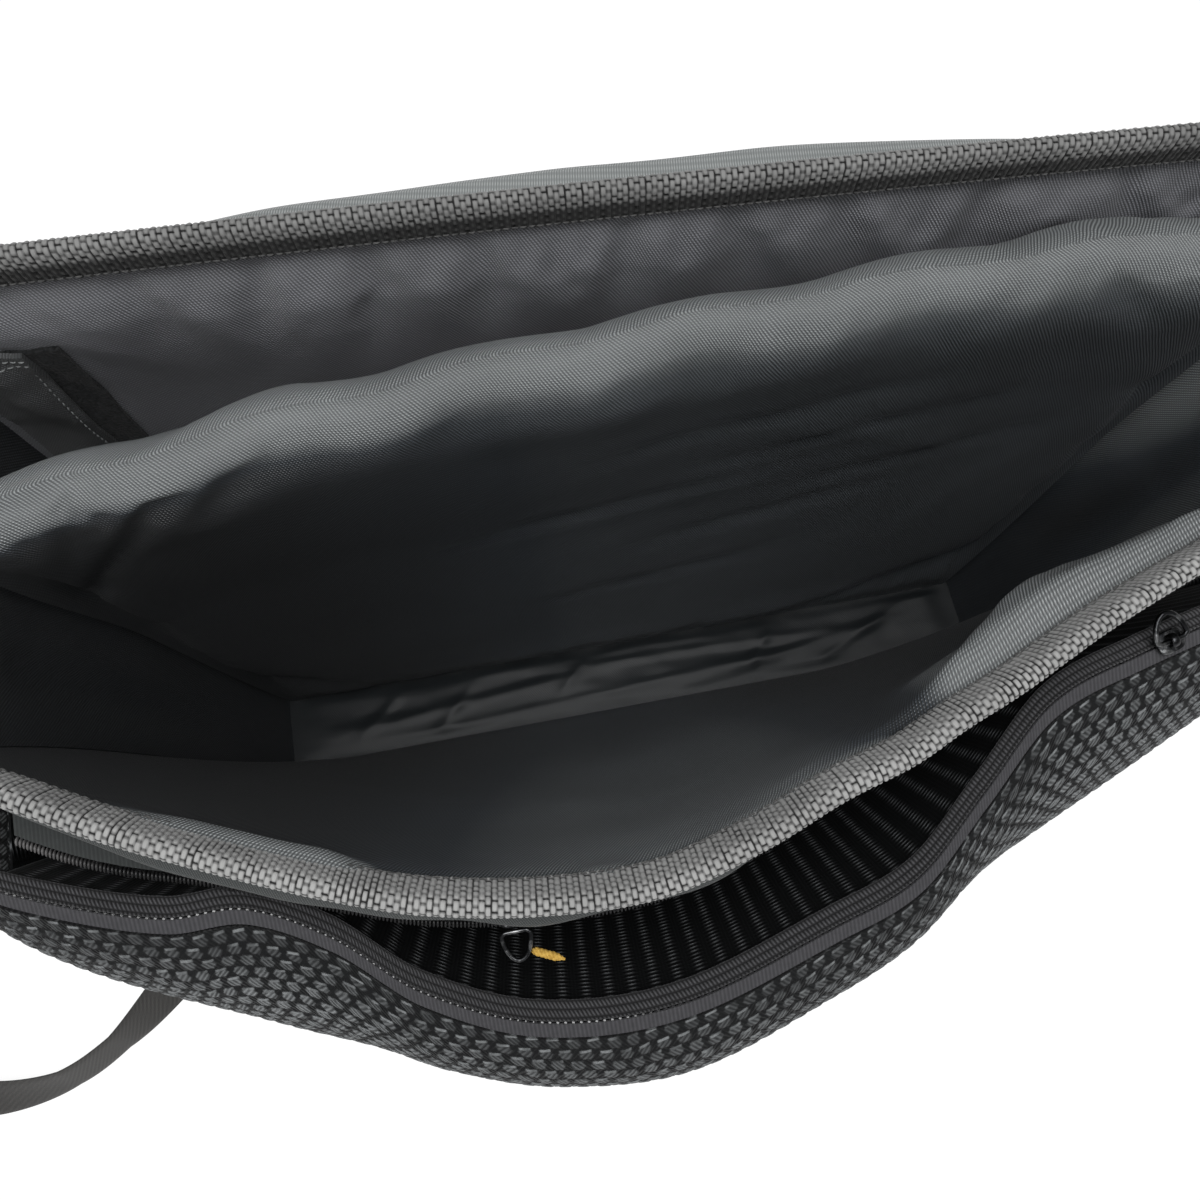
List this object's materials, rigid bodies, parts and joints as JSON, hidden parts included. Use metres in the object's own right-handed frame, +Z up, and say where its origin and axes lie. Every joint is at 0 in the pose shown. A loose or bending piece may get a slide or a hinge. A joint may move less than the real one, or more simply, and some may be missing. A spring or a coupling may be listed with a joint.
{
  "type": "laptop bag",
  "caption": "slim padded laptop shoulder bag standing open, with a padded divider, bound rims, a zipped mesh front pocket and a webbing strap laid on the ground",
  "frame": {"origin": "middle of the base's underside, on the ground", "axes": "+X along the bag to its right seen from the front pocket, +Y to its back, +Z up"},
  "size_m": [0.6339, 0.2755, 0.3035],
  "materials": {
    "shell": "plain-woven dark grey nylon",
    "lining": "fine twill nylon, slightly shiny",
    "webbing": "coarse grey woven webbing",
    "air_mesh": "spacer mesh with staggered cells",
    "knit": "black ribbed knit",
    "zip_tape": "fine ribbed zip tape",
    "zip_coil": "nylon coil",
    "dark_metal": "gunmetal plating with worn bright edges",
    "yellow_cord": "yellow thread",
    "velvet": "black loop velvet"
  },
  "bodies": {
    "bag": {"bottom_panel": "shell", "front_panel": "lining", "back_panel": "lining", "divider": "lining", "left_gusset": "lining", "right_gusset": "lining", "front_binding": "webbing", "back_binding": "webbing", "pocket_mesh": "air_mesh", "pocket_backing": "knit", "pocket_zip_front_tape": "zip_tape", "pocket_zip_rear_tape": "zip_tape", "pocket_zip_coil": "zip_coil", "pocket_zip_slider": "dark_metal", "rim_zip_tape": "zip_tape", "rim_zip_coil": "zip_coil", "rim_zip_slider": "dark_metal", "rim_zip_ring": "dark_metal", "rim_zip_tip": "yellow_cord", "loop_strip": "velvet", "hold_tab": "shell", "shoulder_strap": "webbing"},
    "zip_pull": {"pocket_zip_pull": "dark_metal"}
  },
  "joints": [
    {"name": "pull_swing", "type": "hinge", "parent": "bag", "child": "zip_pull", "pos_m": [0.14452, -0.11528, 0.23551], "axis": [0.9747, 0.2177, 0.051], "range_deg": [-10, 140]}
  ]
}
